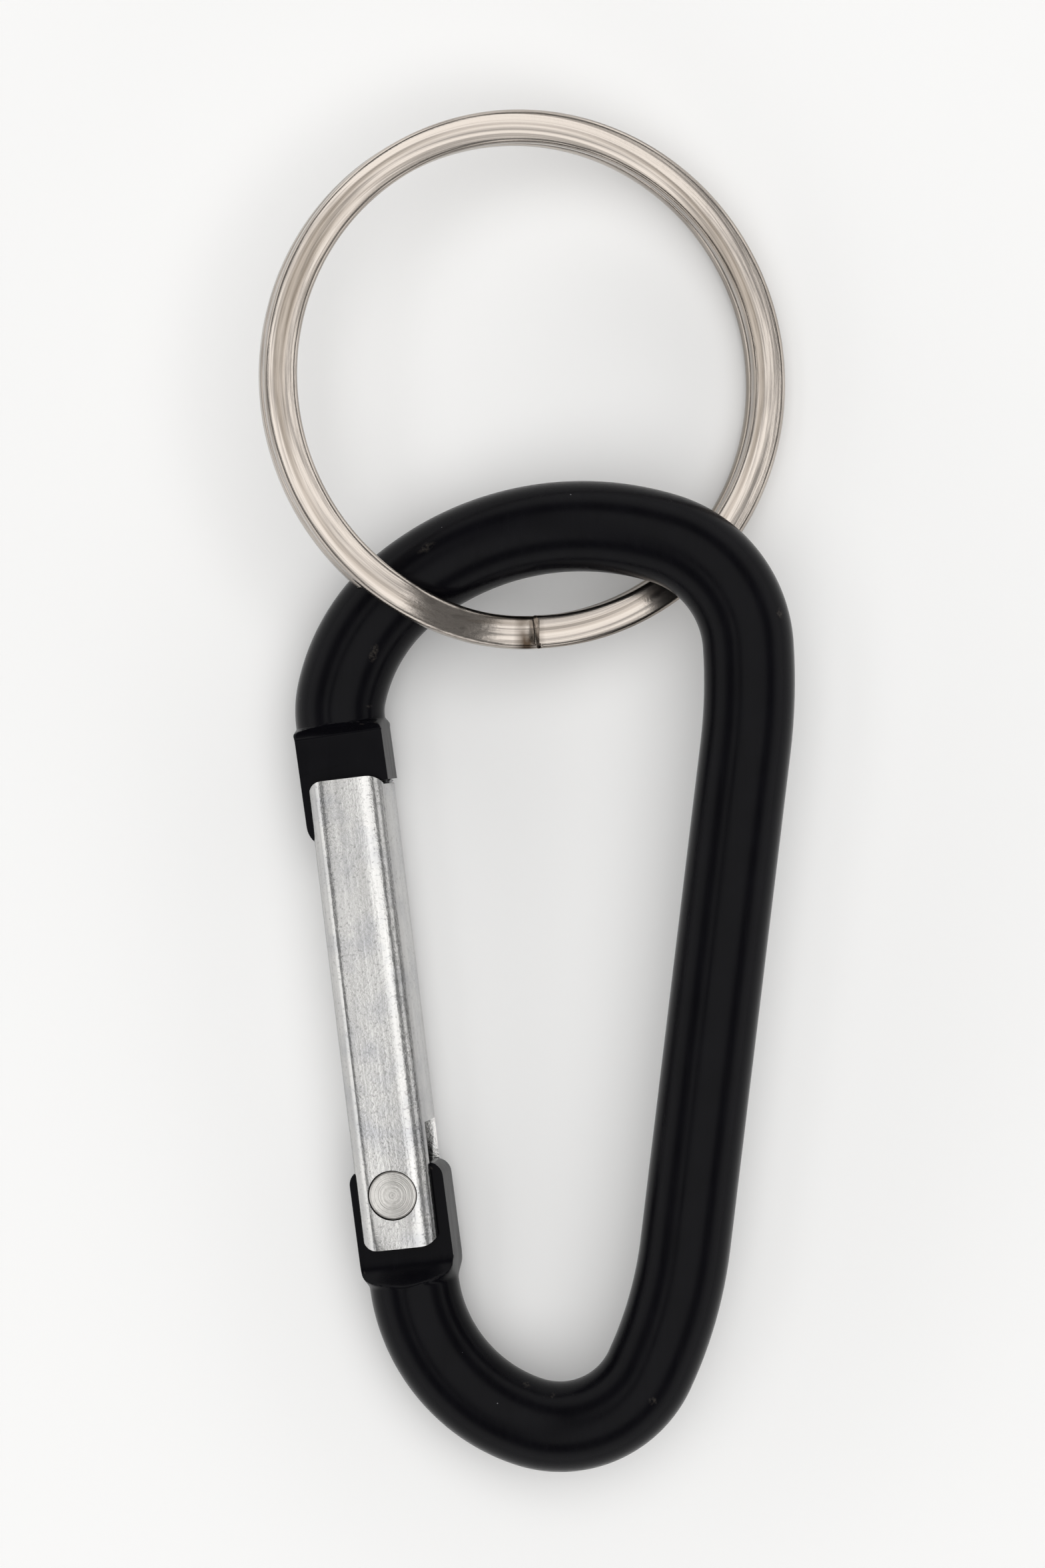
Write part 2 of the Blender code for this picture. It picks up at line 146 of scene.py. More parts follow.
class KeyringBodySettings(bpy.types.PropertyGroup):
    rod_radius: length_setting("Rod radius", "Half the thickness of the bent rod", 2.72 * MM)
    nose_width: length_setting("Nose width", "Width of the tongue at the gate's free end", 5.4 * MM)
    hinge_width: length_setting("Hinge width", "Width of the tongue under the rivet", 5.8 * MM)
    nose_shoulder: length_setting("Nose shoulder", "Length of the scoop above the nose", 0.8 * MM)
    hinge_shoulder: length_setting("Hinge shoulder", "Length of the scoop below the hinge", 1.7 * MM)
    sides: count_setting("Sides", "Points round the rod", 96)
    colour: colour_setting("Anodising", "Colour of the black anodised skin", (0.0026, 0.0025, 0.0036))
    rub_colour: colour_setting("Rub", "Colour where edges are rubbed", (0.035, 0.031, 0.028))


class KeyringGateSettings(bpy.types.PropertyGroup):
    width: length_setting("Gate width", "Width of the gate's front", 4.86 * MM)
    sheet: length_setting("Sheet", "Thickness of the folded sheet", 0.8 * MM)
    fold: length_setting("Fold radius", "Outer radius of the gate's folds", 1.3 * MM)
    crown: length_setting("Crown", "How far the front bulges along its middle", 0.14 * MM)
    edge: length_setting("Edge", "Rounding of the cut edges", 0.1 * MM)
    rivet_radius: length_setting("Rivet head", "Radius of the rivet's heads", 1.48 * MM)
    wire_radius: length_setting("Spring wire", "Radius of the gate spring's wire", 0.35 * MM)
    colour: colour_setting("Sheet colour", "Colour of the bare sheet", (0.61, 0.605, 0.595))
    rivet_colour: colour_setting("Rivet colour", "Colour of the rivet", (0.66, 0.645, 0.62))
    spring_colour: colour_setting("Spring colour", "Colour of the spring wire", (0.42, 0.42, 0.43))


class KeyringRingSettings(bpy.types.PropertyGroup):
    radius: length_setting("Ring radius", "Outer radius of the split ring", 16.2 * MM)
    wire_width: length_setting("Wire width", "Width of the wire across the ring", 2.0 * MM)
    wire_thickness: length_setting("Wire thickness", "Thickness of one turn", 1.05 * MM)
    turn_gap: length_setting("Turn gap", "Gap between the two turns", 0.1 * MM)
    edge: length_setting("Edge", "Rounding of the wire's edges", 0.34 * MM)
    steps: count_setting("Steps", "Points along the wire", 1300)
    colour: colour_setting("Nickel", "Colour of the plating", (0.52, 0.47, 0.425))
    # The stain colour is partly the bare cut end's own colour and partly painted shade in the gap beside it.
    stain_and_gap_shade_colour: colour_setting("Stain", "Colour of the bare cut ends", (0.07, 0.05, 0.035))


class KeyringStageSettings(bpy.types.PropertyGroup):
    floor_size: length_setting("Floor", "Side of the pale floor", 1.6)
    floor_colour: colour_setting("Floor colour", "Colour of the floor", (0.97, 0.97, 0.97))
    overhead: share_setting("Overhead", "Brightness overhead", 1.7)
    horizon: share_setting("Horizon", "Brightness at the sides", 1.5)
    gap: share_setting("Gap", "Brightness between the two", 0.12)
    joint_place: share_setting("Joint place", "Where the ceiling's joint runs", 0.42)
    joint_light: share_setting("Joint light", "Share of light at the joint", 0.06)


# ---- Mesh helpers


def new_object(name, shape):
    """Make an object from a bmesh with its normals outwards."""
    bmesh.ops.recalc_face_normals(shape, faces=shape.faces)
    mesh = bpy.data.meshes.new(name)
    shape.to_mesh(mesh)
    shape.free()
    item = bpy.data.objects.new(name, mesh)
    bpy.context.collection.objects.link(item)
    return item


def settle(item, matrix, material, sharp=40):
    """Apply the modifiers and the place, so that the object itself stays at the origin."""
    bpy.context.view_layer.update()
    graph = bpy.context.evaluated_depsgraph_get()
    mesh = bpy.data.meshes.new_from_object(item.evaluated_get(graph))
    item.modifiers.clear()
    item.data = mesh
    mesh.transform(matrix)
    mesh.materials.clear()
    mesh.materials.append(material)
    mesh.shade_smooth()
    mesh.set_sharp_from_angle(angle=math.radians(sharp))
    if not mesh.polygons:
        raise RuntimeError(f"{item.name} came out empty")
    return item


def loft(rings):
    shape = bmesh.new()
    loops = [[shape.verts.new(point) for point in ring] for ring in rings]
    for first, second in zip(loops, loops[1:]):
        for k in range(len(first)):
            n = (k + 1) % len(first)
            shape.faces.new((first[k], first[n], second[n], second[k]))
    shape.faces.new(list(reversed(loops[0])))
    shape.faces.new(loops[-1])
    return shape


def box_shape(low, high):
    shape = bmesh.new()
    bmesh.ops.create_cube(shape, size=1.0)
    bmesh.ops.scale(shape, vec=Vector(high) - Vector(low), verts=shape.verts)
    bmesh.ops.translate(shape, vec=(Vector(high) + Vector(low)) / 2, verts=shape.verts)
    return shape


def turned_shape(profile, sides):
    """Turn (radius, height) points about Z, the first and last on the axis."""
    shape = bmesh.new()
    rows = []
    for radius, height in profile:
        count = 1 if radius == 0 else sides
        angles = [2 * math.pi * k / sides for k in range(count)]
        rows.append([shape.verts.new((radius * math.cos(a), radius * math.sin(a), height)) for a in angles])
    for lower, upper in zip(rows, rows[1:]):
        for k in range(sides):
            n = (k + 1) % sides
            below = (lower[k % len(lower)], lower[n % len(lower)])
            above = (upper[n % len(upper)], upper[k % len(upper)])
            shape.faces.new(list(dict.fromkeys([*below, *above])))
    return shape


def cut(target, shape, operation="DIFFERENCE"):
    """Cut a shape from an object at once."""
    cutter = new_object(f"{target.name}_cutter", shape)
    modifier = target.modifiers.new("cut", "BOOLEAN")
    modifier.operation = operation
    modifier.solver = "EXACT"
    modifier.object = cutter
    bpy.context.view_layer.update()
    graph = bpy.context.evaluated_depsgraph_get()
    mesh = bpy.data.meshes.new_from_object(target.evaluated_get(graph))
    target.modifiers.clear()
    target.data = mesh
    bpy.data.objects.remove(cutter, do_unlink=True)


# ---- Places, worked out as the frame's own are


def walk(start, heading, legs):
    """Follow straight legs and bends. Returns (point, heading in radians) stations."""
    point, angle = start.copy(), math.radians(heading)
    stations = [(point.copy(), angle)]
    for leg in legs:
        turn = math.radians(leg[1]) if len(leg) == 2 else 0.0
        if turn:
            count = math.ceil(abs(leg[1]) / BEND_STEP)
            step = turn / count
            chord = 2 * leg[0] * math.sin(abs(step) / 2)
        else:
            count = math.ceil(leg[0] / STRAIGHT_STEP)
            step, chord = 0.0, leg[0] / count
        for _ in range(count):
            middle = angle + step / 2
            point = point + Vector((math.cos(middle), math.sin(middle))) * chord
            angle += step
            stations.append((point.copy(), angle))
    return stations


def directions(angle):
    return Vector((math.cos(angle), math.sin(angle))), Vector((math.sin(angle), -math.cos(angle)))


def bow_stations():
    return walk(SPINE_START, SPINE_HEADING, ((SPINE_UPPER_LENGTH,), *BOW_BENDS))


def foot_stations():
    return walk(SPINE_START, SPINE_HEADING + 180, ((SPINE_LOWER_LENGTH,), *FOOT_BENDS))


def pivot_point():
    point, angle = foot_stations()[-1]
    ahead, side = directions(angle)
    return point + ahead * (HINGE_LENGTH - HINGE_PAST_PIVOT) - side * PIVOT_ASIDE


def gate_span():
    """From the rivet to the middle of the gate's end."""
    point, angle = bow_stations()[-1]
    ahead, side = directions(angle)
    return point + ahead * GATE_SEAT + side * GATE_ASIDE - pivot_point()


def lean_matrix():
    """The body's lean about its resting edge."""
    direction = math.radians(LEAN_DIRECTION)
    axis = Vector((-math.sin(direction), math.cos(direction), 0))
    foot = Matrix.Translation((*LEAN_FOOT, 0))
    return foot @ Matrix.Rotation(-math.radians(BODY_LEAN), 4, axis) @ foot.inverted()


def set_shift():
    """How far the leaned body was moved to bring its hinge to the frame's hinge."""
    return HINGE_PLACE - lean_matrix() @ Vector((*pivot_point(), 0))


def body_matrix():
    """From the body's own plane to the frame."""
    return Matrix.Translation(set_shift()) @ lean_matrix()


def gate_matrix():
    turn = Matrix.Rotation(GATE_TILT, 4, "Z")
    return body_matrix() @ Matrix.Translation((*pivot_point(), 0)) @ turn


def hinge_matrix():
    angle = foot_stations()[-1][1] - math.pi / 2
    return body_matrix() @ Matrix.Translation((*pivot_point(), 0)) @ Matrix.Rotation(angle, 4, "Z")


def ring_matrix():
    """The ring keeps its place beside the body, at the height of its own box."""
    shift = set_shift()
    low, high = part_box("split_ring")
    place = Vector((RING_PLACE.x + shift.x, RING_PLACE.y + shift.y, (low[2] + high[2]) / 2))
    return Matrix.Translation(place) @ Matrix.Rotation(math.radians(RING_LEAN), 4, "Y")


# ---- Sizes that follow from the others

SPAN = gate_span()
GATE_REACH = SPAN.length
GATE_TILT = math.atan2(-SPAN.x, SPAN.y)
CURL_END = GATE_REACH - CURL_LIP


# ---- Material helpers


def new_group(name, inputs, outputs):
    """A shader node group with its sockets and its two end nodes."""
    group = bpy.data.node_groups.new(name, "ShaderNodeTree")
    for label, kind, default in inputs:
        socket = group.interface.new_socket(name=label, in_out="INPUT", socket_type=kind)
        if default is not None:
            socket.default_value = default
    for label, kind in outputs:
        group.interface.new_socket(name=label, in_out="OUTPUT", socket_type=kind)
    return group, group.nodes.new("NodeGroupInput"), group.nodes.new("NodeGroupOutput")


def math_node(tree, operation, first, second=None, third=None, clamp=False):
    node = tree.nodes.new("ShaderNodeMath")
    node.operation = operation
    node.use_clamp = clamp
    for socket, value in zip(node.inputs, (first, second, third)):
        if value is None:
            continue
        if isinstance(value, (int, float)):
            socket.default_value = value
        else:
            tree.links.new(value, socket)
    return node.outputs[0]


def noise(tree, vector, scale, detail=3.0, roughness=0.5, dimensions="3D"):
    node = tree.nodes.new("ShaderNodeTexNoise")
    node.noise_dimensions = dimensions
    tree.links.new(vector, node.inputs["W" if dimensions == "1D" else "Vector"])
    for label, value in (("Scale", scale), ("Detail", detail), ("Roughness", roughness)):
        if isinstance(value, (int, float)):
            node.inputs[label].default_value = value
        else:
            tree.links.new(value, node.inputs[label])
    return node.outputs["Fac"]


def ramp(tree, value, low, high, start=0.0, end=1.0):
    node = tree.nodes.new("ShaderNodeMapRange")
    tree.links.new(value, node.inputs["Value"])
    for label, number in (("From Min", low), ("From Max", high), ("To Min", start), ("To Max", end)):
        if isinstance(number, (int, float)):
            node.inputs[label].default_value = number
        else:
            tree.links.new(number, node.inputs[label])
    return node.outputs["Result"]


def mix_colour(tree, share, first, second):
    node = tree.nodes.new("ShaderNodeMix")
    node.data_type = "RGBA"
    for label, value in ((0, share), (6, first), (7, second)):
        socket = node.inputs[label]
        if isinstance(value, bpy.types.NodeSocket):
            tree.links.new(value, socket)
        elif isinstance(value, (int, float)):
            socket.default_value = value
        else:
            socket.default_value = (*value, 1.0)
    return node.outputs[2]


def grain_group():
    """Fine pits, cloudy patches and long streaks, from a vector whose Y runs along the metal."""
    if "Metal Grain" in bpy.data.node_groups:
        return bpy.data.node_groups["Metal Grain"]
    group, start, end = new_group(
        "Metal Grain",
        (
            ("Vector", "NodeSocketVector", None),
            ("Pit Scale", "NodeSocketFloat", 6000.0),
            ("Streak Stretch", "NodeSocketFloat", 0.03),
        ),
        (("Pits", "NodeSocketFloat"), ("Clouds", "NodeSocketFloat"), ("Streaks", "NodeSocketFloat")),
    )
    vector = start.outputs["Vector"]
    pits = noise(group, vector, start.outputs["Pit Scale"], 4.0, 0.65)
    clouds = noise(group, vector, 420.0, 3.0)
    parts = group.nodes.new("ShaderNodeSeparateXYZ")
    group.links.new(vector, parts.inputs[0])
    stretched = group.nodes.new("ShaderNodeCombineXYZ")
    group.links.new(parts.outputs["X"], stretched.inputs["X"])
    slow = math_node(group, "MULTIPLY", parts.outputs["Y"], start.outputs["Streak Stretch"])
    group.links.new(slow, stretched.inputs["Y"])
    group.links.new(parts.outputs["Z"], stretched.inputs["Z"])
    streaks = noise(group, stretched.outputs[0], 2600.0, 3.0, 0.6)
    group.links.new(pits, end.inputs["Pits"])
    group.links.new(clouds, end.inputs["Clouds"])
    group.links.new(streaks, end.inputs["Streaks"])
    return group


def dust_group():
    """A scatter of tiny specks, as a mask."""
    if "Dust Specks" in bpy.data.node_groups:
        return bpy.data.node_groups["Dust Specks"]
    group, start, end = new_group(
        "Dust Specks",
        (
            ("Vector", "NodeSocketVector", None),
            ("Scale", "NodeSocketFloat", 900.0),
            ("Amount", "NodeSocketFloat", 0.12),
            ("Size", "NodeSocketFloat", 0.06),
        ),
        (("Mask", "NodeSocketFloat"),),
    )
    cells = group.nodes.new("ShaderNodeTexVoronoi")
    group.links.new(start.outputs["Vector"], cells.inputs["Vector"])
    group.links.new(start.outputs["Scale"], cells.inputs["Scale"])
    pick = group.nodes.new("ShaderNodeSeparateColor")
    group.links.new(cells.outputs["Color"], pick.inputs[0])
    chosen = math_node(group, "LESS_THAN", pick.outputs[0], start.outputs["Amount"])
    size = math_node(group, "MULTIPLY", pick.outputs[1], start.outputs["Size"])
    inside = math_node(group, "LESS_THAN", cells.outputs["Distance"], size)
    group.links.new(math_node(group, "MULTIPLY", chosen, inside), end.inputs["Mask"])
    return group


def new_material(name, roughness, metallic=0.0):
    material = bpy.data.materials.new(name)
    material.use_nodes = True
    tree = material.node_tree
    shader = tree.nodes["Principled BSDF"]
    shader.inputs["Roughness"].default_value = roughness
    shader.inputs["Metallic"].default_value = metallic
    return material, tree, shader


def local_vector(tree, matrix):
    """Object coordinates turned into a piece's own axes, in metres."""
    coordinates = tree.nodes.new("ShaderNodeTexCoord")
    mapping = tree.nodes.new("ShaderNodeMapping")
    mapping.vector_type = "TEXTURE"
    mapping.inputs["Location"].default_value = matrix.to_translation()
    mapping.inputs["Rotation"].default_value = matrix.to_euler()
    tree.links.new(coordinates.outputs["Object"], mapping.inputs["Vector"])
    return mapping.outputs[0]


def use_group(tree, group, vector, **values):
    node = tree.nodes.new("ShaderNodeGroup")
    node.node_tree = group
    tree.links.new(vector, node.inputs["Vector"])
    for label, value in values.items():
        node.inputs[label.replace("_", " ")].default_value = value
    return node


def bump(tree, shader, height, strength, distance):
    node = tree.nodes.new("ShaderNodeBump")
    node.inputs["Strength"].default_value = strength
    node.inputs["Distance"].default_value = distance
    tree.links.new(height, node.inputs["Height"])
    tree.links.new(node.outputs["Normal"], shader.inputs["Normal"])


def anodised_material(settings):
    material, tree, shader = new_material("black_anodising", 0.24)
    shader.inputs["Specular IOR Level"].default_value = 0.07
    vector = local_vector(tree, body_matrix())
    grain = use_group(tree, grain_group(), vector, Pit_Scale=5200.0, Streak_Stretch=0.05)
    dust = use_group(tree, dust_group(), vector)
    cloud = ramp(tree, grain.outputs["Clouds"], 0.35, 0.7)
    skin = mix_colour(tree, cloud, settings.colour, [part * 1.35 for part in settings.colour])
    point = tree.nodes.new("ShaderNodeNewGeometry").outputs["Pointiness"]
    edges, worn = ramp(tree, point, 0.56, 0.64), ramp(tree, grain.outputs["Pits"], 0.4, 0.65)
    rubbed = math_node(tree, "MULTIPLY", edges, worn, clamp=True)
    rubbed_skin = mix_colour(tree, rubbed, skin, settings.rub_colour)
    dusty = mix_colour(tree, dust.outputs["Mask"], rubbed_skin, (0.13, 0.13, 0.14))
    tree.links.new(dusty, shader.inputs["Base Color"])
    rough = ramp(tree, grain.outputs["Streaks"], 0.3, 0.7, 0.19, 0.29)
    tree.links.new(rough, shader.inputs["Roughness"])
    bump(tree, shader, grain.outputs["Pits"], 0.10, 0.02 * MM)
    return material


def sheet_material(settings):
    material, tree, shader = new_material("bare_sheet", 0.3, 1.0)
    vector = local_vector(tree, gate_matrix())
    grain = use_group(tree, grain_group(), vector, Pit_Scale=5200.0, Streak_Stretch=0.035)
    shade = ramp(tree, grain.outputs["Streaks"], 0.35, 0.72, 1.0, 0.0)
    pitted = ramp(tree, grain.outputs["Pits"], 0.56, 0.7)
    clean = mix_colour(tree, shade, [part * 0.80 for part in settings.colour], settings.colour)
    patches = ramp(tree, grain.outputs["Clouds"], 0.45, 0.7, 0.0, 0.5)
    patchy = mix_colour(tree, patches, clean, (0.36, 0.37, 0.40))
    dirty = mix_colour(tree, math_node(tree, "MULTIPLY", pitted, 0.5), patchy, (0.17, 0.165, 0.165))
    tree.links.new(dirty, shader.inputs["Base Color"])
    rough = ramp(tree, grain.outputs["Pits"], 0.3, 0.7, 0.1, 0.22)
    tree.links.new(rough, shader.inputs["Roughness"])
    height = math_node(tree, "MULTIPLY_ADD", grain.outputs["Streaks"], 0.7, grain.outputs["Pits"])
    bump(tree, shader, height, 0.6, 0.035 * MM)
    return material


def rivet_material(settings):
    material, tree, shader = new_material("rivet_metal", 0.3, 1.0)
    vector = local_vector(tree, gate_matrix())
    length = tree.nodes.new("ShaderNodeVectorMath")
    length.operation = "LENGTH"
    flat = tree.nodes.new("ShaderNodeVectorMath")
    flat.operation = "MULTIPLY"
    flat.inputs[1].default_value = (1, 1, 0)
    tree.links.new(vector, flat.inputs[0])
    tree.links.new(flat.outputs["Vector"], length.inputs[0])
    rings = noise(tree, length.outputs["Value"], 9000.0, 2.0, 0.5, "1D")
    grain = use_group(tree, grain_group(), vector, Pit_Scale=4200.0, Streak_Stretch=1.0)
    bright = settings.rivet_colour
    clouds = ramp(tree, grain.outputs["Clouds"], 0.4, 0.65)
    tone = mix_colour(tree, clouds, [part * 0.72 for part in bright], bright)
    turned = math_node(tree, "MULTIPLY", ramp(tree, rings, 0.48, 0.62), 0.55, clamp=True)
    tone = mix_colour(tree, turned, tone, [part * 0.5 for part in bright])
    edge = settings.rivet_radius
    rim = ramp(tree, length.outputs["Value"], edge * 0.93, edge * 0.985, 0.0, 0.4)
    tree.links.new(mix_colour(tree, rim, tone, (0.22, 0.2, 0.19)), shader.inputs["Base Color"])
    tree.links.new(ramp(tree, grain.outputs["Pits"], 0.3, 0.7, 0.26, 0.42), shader.inputs["Roughness"])
    height = math_node(tree, "ADD", rings, math_node(tree, "MULTIPLY", grain.outputs["Pits"], 0.8))
    bump(tree, shader, height, 0.7, 0.04 * MM)
    return material


def spring_material(settings):
    material, tree, shader = new_material("spring_wire", 0.32, 1.0)
    vector = local_vector(tree, gate_matrix())
    grain = use_group(tree, grain_group(), vector, Pit_Scale=6000.0, Streak_Stretch=0.02)
    bright = settings.spring_colour
    tone = mix_colour(tree, grain.outputs["Streaks"], [part * 0.6 for part in bright], bright)
    tree.links.new(tone, shader.inputs["Base Color"])
    bump(tree, shader, grain.outputs["Streaks"], 0.2, 0.02 * MM)
    return material


def nickel_material(settings):
    material, tree, shader = new_material("nickel_plate", 0.2, 1.0)
    vector = local_vector(tree, ring_matrix())
    parts = tree.nodes.new("ShaderNodeSeparateXYZ")
    tree.links.new(vector, parts.inputs[0])
    squares = [math_node(tree, "POWER", parts.outputs[axis], 2.0) for axis in "XY"]
    radius = math_node(tree, "SQRT", math_node(tree, "ADD", *squares))
    angle = math_node(tree, "ARCTAN2", parts.outputs["Y"], parts.outputs["X"])
    # Drawn lines run round the ring, so the grain changes fast with radius and height and slowly along.
    drawn = tree.nodes.new("ShaderNodeCombineXYZ")
    slow = 0.03
    tree.links.new(math_node(tree, "MULTIPLY_ADD", parts.outputs["X"], slow, radius), drawn.inputs["X"])
    tree.links.new(math_node(tree, "MULTIPLY", parts.outputs["Y"], slow), drawn.inputs["Y"])
    tree.links.new(parts.outputs["Z"], drawn.inputs["Z"])
    lines = noise(tree, drawn.outputs[0], 4200.0, 4.0, 0.62)
    broad = noise(tree, drawn.outputs[0], 1100.0, 2.0, 0.5)
    grain = use_group(tree, grain_group(), vector, Pit_Scale=4200.0, Streak_Stretch=1.0)
    bright = settings.colour
    plate = mix_colour(tree, ramp(tree, lines, 0.42, 0.66), bright, [part * 0.42 for part in bright])
    warm = mix_colour(tree, ramp(tree, broad, 0.52, 0.66, 0.0, 0.7), plate, (0.19, 0.155, 0.12))
    # The bare front cut end is stained, and the dark stain also paints shade over the back turn in the gap
    # beside that end, just past the joggle.
    degrees = math_node(tree, "MULTIPLY", angle, 180 / math.pi)
    away = math_node(tree, "ABSOLUTE", math_node(tree, "ADD", degrees, 89.5))
    near_end = ramp(tree, away, 0.6, 3.2, 1.0, 0.0)
    clouds = ramp(tree, grain.outputs["Clouds"], 0.38, 0.6)
    stain_and_gap_shade = math_node(tree, "MULTIPLY", near_end, clouds, clamp=True)
    tree.links.new(mix_colour(tree, stain_and_gap_shade, warm, settings.stain_and_gap_shade_colour), shader.inputs["Base Color"])
    tree.links.new(ramp(tree, lines, 0.3, 0.7, 0.13, 0.3), shader.inputs["Roughness"])
    height = math_node(tree, "ADD", lines, math_node(tree, "MULTIPLY", grain.outputs["Pits"], 0.35))
    bump(tree, shader, height, 0.5, 0.03 * MM)
    return material


# ---- The body


def rod_section(radius, half_width, half_thickness, squareness, sides):
    loop = []
    for k in range(sides):
        angle = 2 * math.pi * (k + 0.5) / sides
        across, up = math.cos(angle), math.sin(angle)
        across = math.copysign(abs(across) ** (2 / squareness), across) * half_width
        up = math.copysign(abs(up) ** (2 / squareness), up) * radius
        loop.append((across, soft_limit(up, half_thickness)))
    return loop


def soft_limit(value, limit, softness=0.12 * MM):
    """Hold a value within a limit, with a small round where it meets it."""
    size = abs(value)
    if size <= limit - softness:
        return value
    over = size - (limit - softness)
    return math.copysign(limit - softness + softness * math.tanh(over / softness), value)


def place_section(station, section, flip=False):
    point, angle = station
    side = Vector((math.sin(angle), -math.cos(angle))) * (-1 if flip else 1)
    return [(*(point + side * across), up) for across, up in section]


def tongue_rings(station, radius, length, width, shoulder, corner, sides, flip):
    point, angle = station
    ahead = Vector((math.cos(angle), math.sin(angle)))
    half_width, half_thickness = width / 2, TONGUE_THICKNESS / 2
    squareness = 8.0
    rings = []
    for k in range(1, SHOULDER_STEPS + 1):
        share = k / SHOULDER_STEPS
        thickness = radius * 1.04 + (half_thickness - radius * 1.04) * math.sin(share * math.pi / 2)
        eased = share * share * (3 - 2 * share)
        section = rod_section(
            radius, radius + (half_width - radius) * eased, thickness, 2 + (squareness - 2) * eased, sides
        )
        rings.append(place_section((point + ahead * shoulder * share, angle), section, flip))
    flat = rod_section(radius, half_width, half_thickness, squareness, sides)
    straight = length - corner - shoulder
    for k in range(1, 8):
        rings.append(place_section((point + ahead * (shoulder + straight * k / 8), angle), flat, flip))
    for k in range(TIP_STEPS + 1):
        turn = k / TIP_STEPS * math.radians(84)
        inset = corner * (1 - math.cos(turn))
        reach = length - corner + corner * math.sin(turn)
        thin = 0.15 * MM * (k / TIP_STEPS) ** 4
        tip = [(a * (half_width - inset) / half_width, u * (1 - thin / half_thickness)) for a, u in flat]
        rings.append(place_section((point + ahead * reach, angle), tip, flip))
    return rings


def make_body(settings, gate_settings):
    bow, foot = bow_stations(), foot_stations()
    radius, sides = settings.rod_radius, settings.sides
    circle = rod_section(radius, radius, radius * 2, 2, sides)
    nose = tongue_rings(
        bow[-1], radius, NOSE_LENGTH, settings.nose_width, settings.nose_shoulder, NOSE_CORNER, sides, False
    )
    width, shoulder = settings.hinge_width, settings.hinge_shoulder
    hinge = tongue_rings(foot[-1], radius, HINGE_LENGTH, width, shoulder, HINGE_CORNER, sides, True)
    rings = list(reversed(hinge))
    rings += [place_section(station, circle, True) for station in reversed(foot[1:])]
    rings += [place_section(station, circle) for station in bow]
    rings += nose
    body = new_object("carabiner_body_skin", loft(rings))

    pivot = Vector((*pivot_point(), 0))
    hole = turned_shape(
        ((0, -3 * MM), (RIVET_SHANK * 1.07, -3 * MM), (RIVET_SHANK * 1.07, 3 * MM), (0, 3 * MM)), 64
    )
    bmesh.ops.translate(hole, vec=pivot, verts=hole.verts)
    cut(body, hole)

    clear = 0.25 * MM
    inner = gate_settings.width / 2 - gate_settings.sheet - clear
    step = box_shape(
        (inner, CURL_END, -gate_settings.width),
        (inner + gate_settings.width, GATE_REACH - WEB_SETBACK + clear, gate_settings.width),
    )
    to_gate = Matrix.Translation(pivot) @ Matrix.Rotation(GATE_TILT, 4, "Z")
    bmesh.ops.transform(step, matrix=to_gate, verts=step.verts)
    cut(body, step)

    # The press leaves a fine parting line across the nose's face.
    point, angle = bow[-1]
    line = box_shape((-3 * MM, -0.02 * MM, TONGUE_THICKNESS / 2 - 0.03 * MM), (0.6 * MM, 0.025 * MM, 3 * MM))
    tilt = Matrix.Rotation(angle - math.radians(270 - 7), 4, "Z")
    where = Vector((*(point + Vector((math.cos(angle), math.sin(angle))) * 2.55 * MM), 0))
    bmesh.ops.transform(line, matrix=Matrix.Translation(where) @ tilt, verts=line.verts)
    cut(body, line)
    return settle(body, body_matrix(), anodised_material(settings), 32)


# ---- The gate, its rivet and its spring


def channel_section(half_width, half_depth, radius, crown, steps=10):
    """A rounded rectangle in (across, up), its broad faces crowned by a little."""
    points = []
    for quarter, (sx, sz) in enumerate(((1, 1), (-1, 1), (-1, -1), (1, -1))):
        centre = (sx * (half_width - radius), sz * (half_depth - radius))
        for k in range(steps + 1):
            angle = math.radians(90 * quarter + 90 * k / steps)
            points.append([centre[0] + radius * math.cos(angle), centre[1] + radius * math.sin(angle)])
        if quarter in (0, 2):
            flat = half_width - radius
            points += [[sx * flat * (1 - 2 * k / steps), sz * half_depth] for k in range(1, steps)]
    for point in points:
        bulge = crown * max(0.0, 1 - (point[0] / half_width) ** 2)
        point[1] += math.copysign(bulge, point[1]) if abs(point[1]) > half_depth * 0.6 else 0.0
    return points


def gate_outline(settings):
    """The gate seen from the front, its curled stretch a little proud on the outer side."""
    half, radius, proud = settings.width / 2 + 0.01 * MM, 1.0 * MM, 0.1 * MM
    narrow = half - proud
    points = []
    corners = ((half, GATE_REACH), (-narrow, GATE_REACH), (-narrow, -GATE_TAIL), (half, -GATE_TAIL))
    for quarter, (x, y) in enumerate(corners):
        centre = (x - math.copysign(radius, x), y - math.copysign(radius, y))
        for k in range(9):
            angle = math.radians(90 * quarter + 90 * k / 8)
            points.append((centre[0] + radius * math.cos(angle), centre[1] + radius * math.sin(angle)))
        if quarter == 1:
            ease = 0.35 * MM
            points += [(-narrow, CURL_END + ease), (-half, CURL_END)]
            points += [(-half, CURL_START), (-narrow, CURL_START - ease)]
    return points


